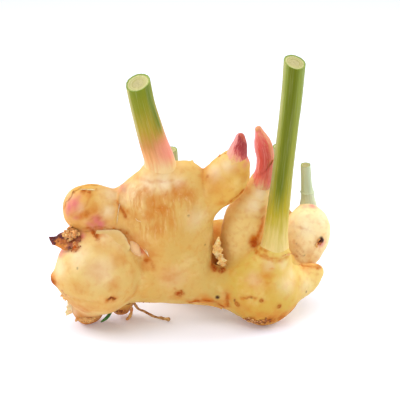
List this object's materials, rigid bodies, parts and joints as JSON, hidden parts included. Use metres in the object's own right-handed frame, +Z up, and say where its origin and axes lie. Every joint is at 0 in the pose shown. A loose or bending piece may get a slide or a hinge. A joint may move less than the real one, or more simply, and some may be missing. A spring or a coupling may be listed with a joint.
{
  "type": "ginger root",
  "caption": "Hand of young ginger: a knobbly fleshy rhizome that stands on its own underside, with cut green leaf stems, pink shoots, a torn dry scale leaf, rootlets and a scrap of leaf.",
  "frame": {"origin": "middle of the bounding box's underside, on the surface that the hand stands on", "axes": "+X to the right of the hand's front, +Y to its back, +Z up along its stems"},
  "size_m": [0.1637, 0.0864, 0.1615],
  "materials": {
    "rhizome": "waxy skin",
    "left_stem": "satin",
    "right_stem": "satin",
    "rear_left_stem": "satin",
    "rear_middle_stem": "satin",
    "rear_right_stem": "satin",
    "centre_shoot": "satin",
    "right_shoot": "satin",
    "dry_scale_leaf": "dry and rough",
    "long_root": "dry and rough",
    "short_root": "dry and rough",
    "leaf_scrap": "satin"
  },
  "bodies": {
    "root": {"rhizome": "rhizome", "left_stem": "left_stem", "right_stem": "right_stem", "rear_left_stem": "rear_left_stem", "rear_middle_stem": "rear_middle_stem", "rear_right_stem": "rear_right_stem", "centre_shoot": "centre_shoot", "right_shoot": "right_shoot", "dry_scale_leaf": "dry_scale_leaf", "long_root": "long_root", "short_root": "short_root", "leaf_scrap": "leaf_scrap"}
  },
  "joints": []
}
